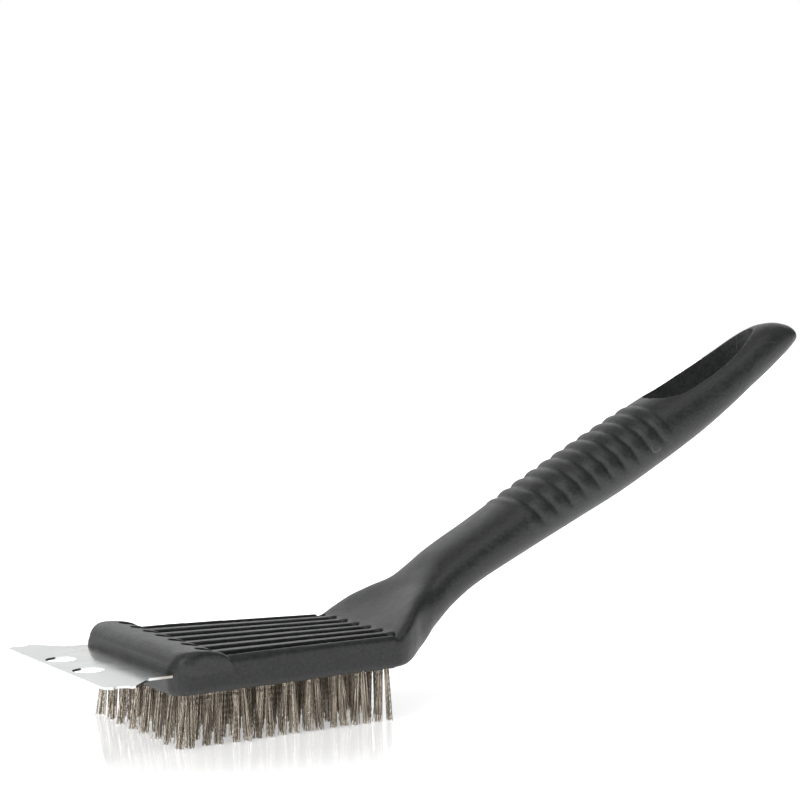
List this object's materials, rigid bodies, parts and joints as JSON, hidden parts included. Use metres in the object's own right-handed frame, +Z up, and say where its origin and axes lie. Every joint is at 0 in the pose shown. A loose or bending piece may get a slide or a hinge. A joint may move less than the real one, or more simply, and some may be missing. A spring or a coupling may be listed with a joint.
{
  "type": "grill cleaning brush",
  "caption": "Handled grill brush: moulded body rising to a ridged grip with a hanging slot, stapled wire tufts under the head and a notched scraper plate in its nose.",
  "frame": {"origin": "centre of the overall length and width, on the plane of the tuft tips the brush stands on", "axes": "+X along the brush from the scraper edge to the handle's tip, +Y across the head, +Z up from the tuft tips"},
  "size_m": [0.2934, 0.0972, 0.1256],
  "materials": {
    "moulded_plastic": "satin charcoal black, fine moulded grain",
    "stainless_sheet": "bright rolled stainless sheet",
    "crimped_wire": "crimped steel wire, brownish grey, bright at the cut tips"
  },
  "bodies": {
    "root": {"body": "moulded_plastic", "scraper_plate": "stainless_sheet", "tuft_r1_c1": "crimped_wire", "tuft_r1_c2": "crimped_wire", "tuft_pair_r1_c3": "crimped_wire", "tuft_pair_r1_c5": "crimped_wire", "tuft_r1_c7": "crimped_wire", "tuft_r1_c8": "crimped_wire", "tuft_r2_c1": "crimped_wire", "tuft_r2_c2": "crimped_wire", "tuft_pair_r2_c3": "crimped_wire", "tuft_pair_r2_c5": "crimped_wire", "tuft_r2_c7": "crimped_wire", "tuft_r2_c8": "crimped_wire", "tuft_r3_c1": "crimped_wire", "tuft_r3_c2": "crimped_wire", "tuft_pair_r3_c3": "crimped_wire", "tuft_pair_r3_c5": "crimped_wire", "tuft_r3_c7": "crimped_wire", "tuft_r3_c8": "crimped_wire", "tuft_r4_c1": "crimped_wire", "tuft_r4_c2": "crimped_wire", "tuft_pair_r4_c3": "crimped_wire", "tuft_pair_r4_c5": "crimped_wire", "tuft_r4_c7": "crimped_wire", "tuft_r4_c8": "crimped_wire", "tuft_r5_c1": "crimped_wire", "tuft_r5_c2": "crimped_wire", "tuft_pair_r5_c3": "crimped_wire", "tuft_pair_r5_c5": "crimped_wire", "tuft_r5_c7": "crimped_wire", "tuft_r5_c8": "crimped_wire", "tuft_r6_c1": "crimped_wire", "tuft_r6_c2": "crimped_wire", "tuft_pair_r6_c3": "crimped_wire", "tuft_pair_r6_c5": "crimped_wire", "tuft_r6_c7": "crimped_wire", "tuft_r6_c8": "crimped_wire", "tuft_r7_c1": "crimped_wire", "tuft_r7_c2": "crimped_wire", "tuft_pair_r7_c3": "crimped_wire", "tuft_pair_r7_c5": "crimped_wire", "tuft_r7_c7": "crimped_wire", "tuft_r7_c8": "crimped_wire", "tuft_r8_c1": "crimped_wire", "tuft_r8_c2": "crimped_wire", "tuft_pair_r8_c3": "crimped_wire", "tuft_pair_r8_c5": "crimped_wire", "tuft_r8_c7": "crimped_wire", "tuft_r8_c8": "crimped_wire", "tuft_r9_c1": "crimped_wire", "tuft_r9_c2": "crimped_wire", "tuft_pair_r9_c3": "crimped_wire", "tuft_pair_r9_c5": "crimped_wire", "tuft_r9_c7": "crimped_wire", "tuft_r9_c8": "crimped_wire"}
  },
  "joints": []
}
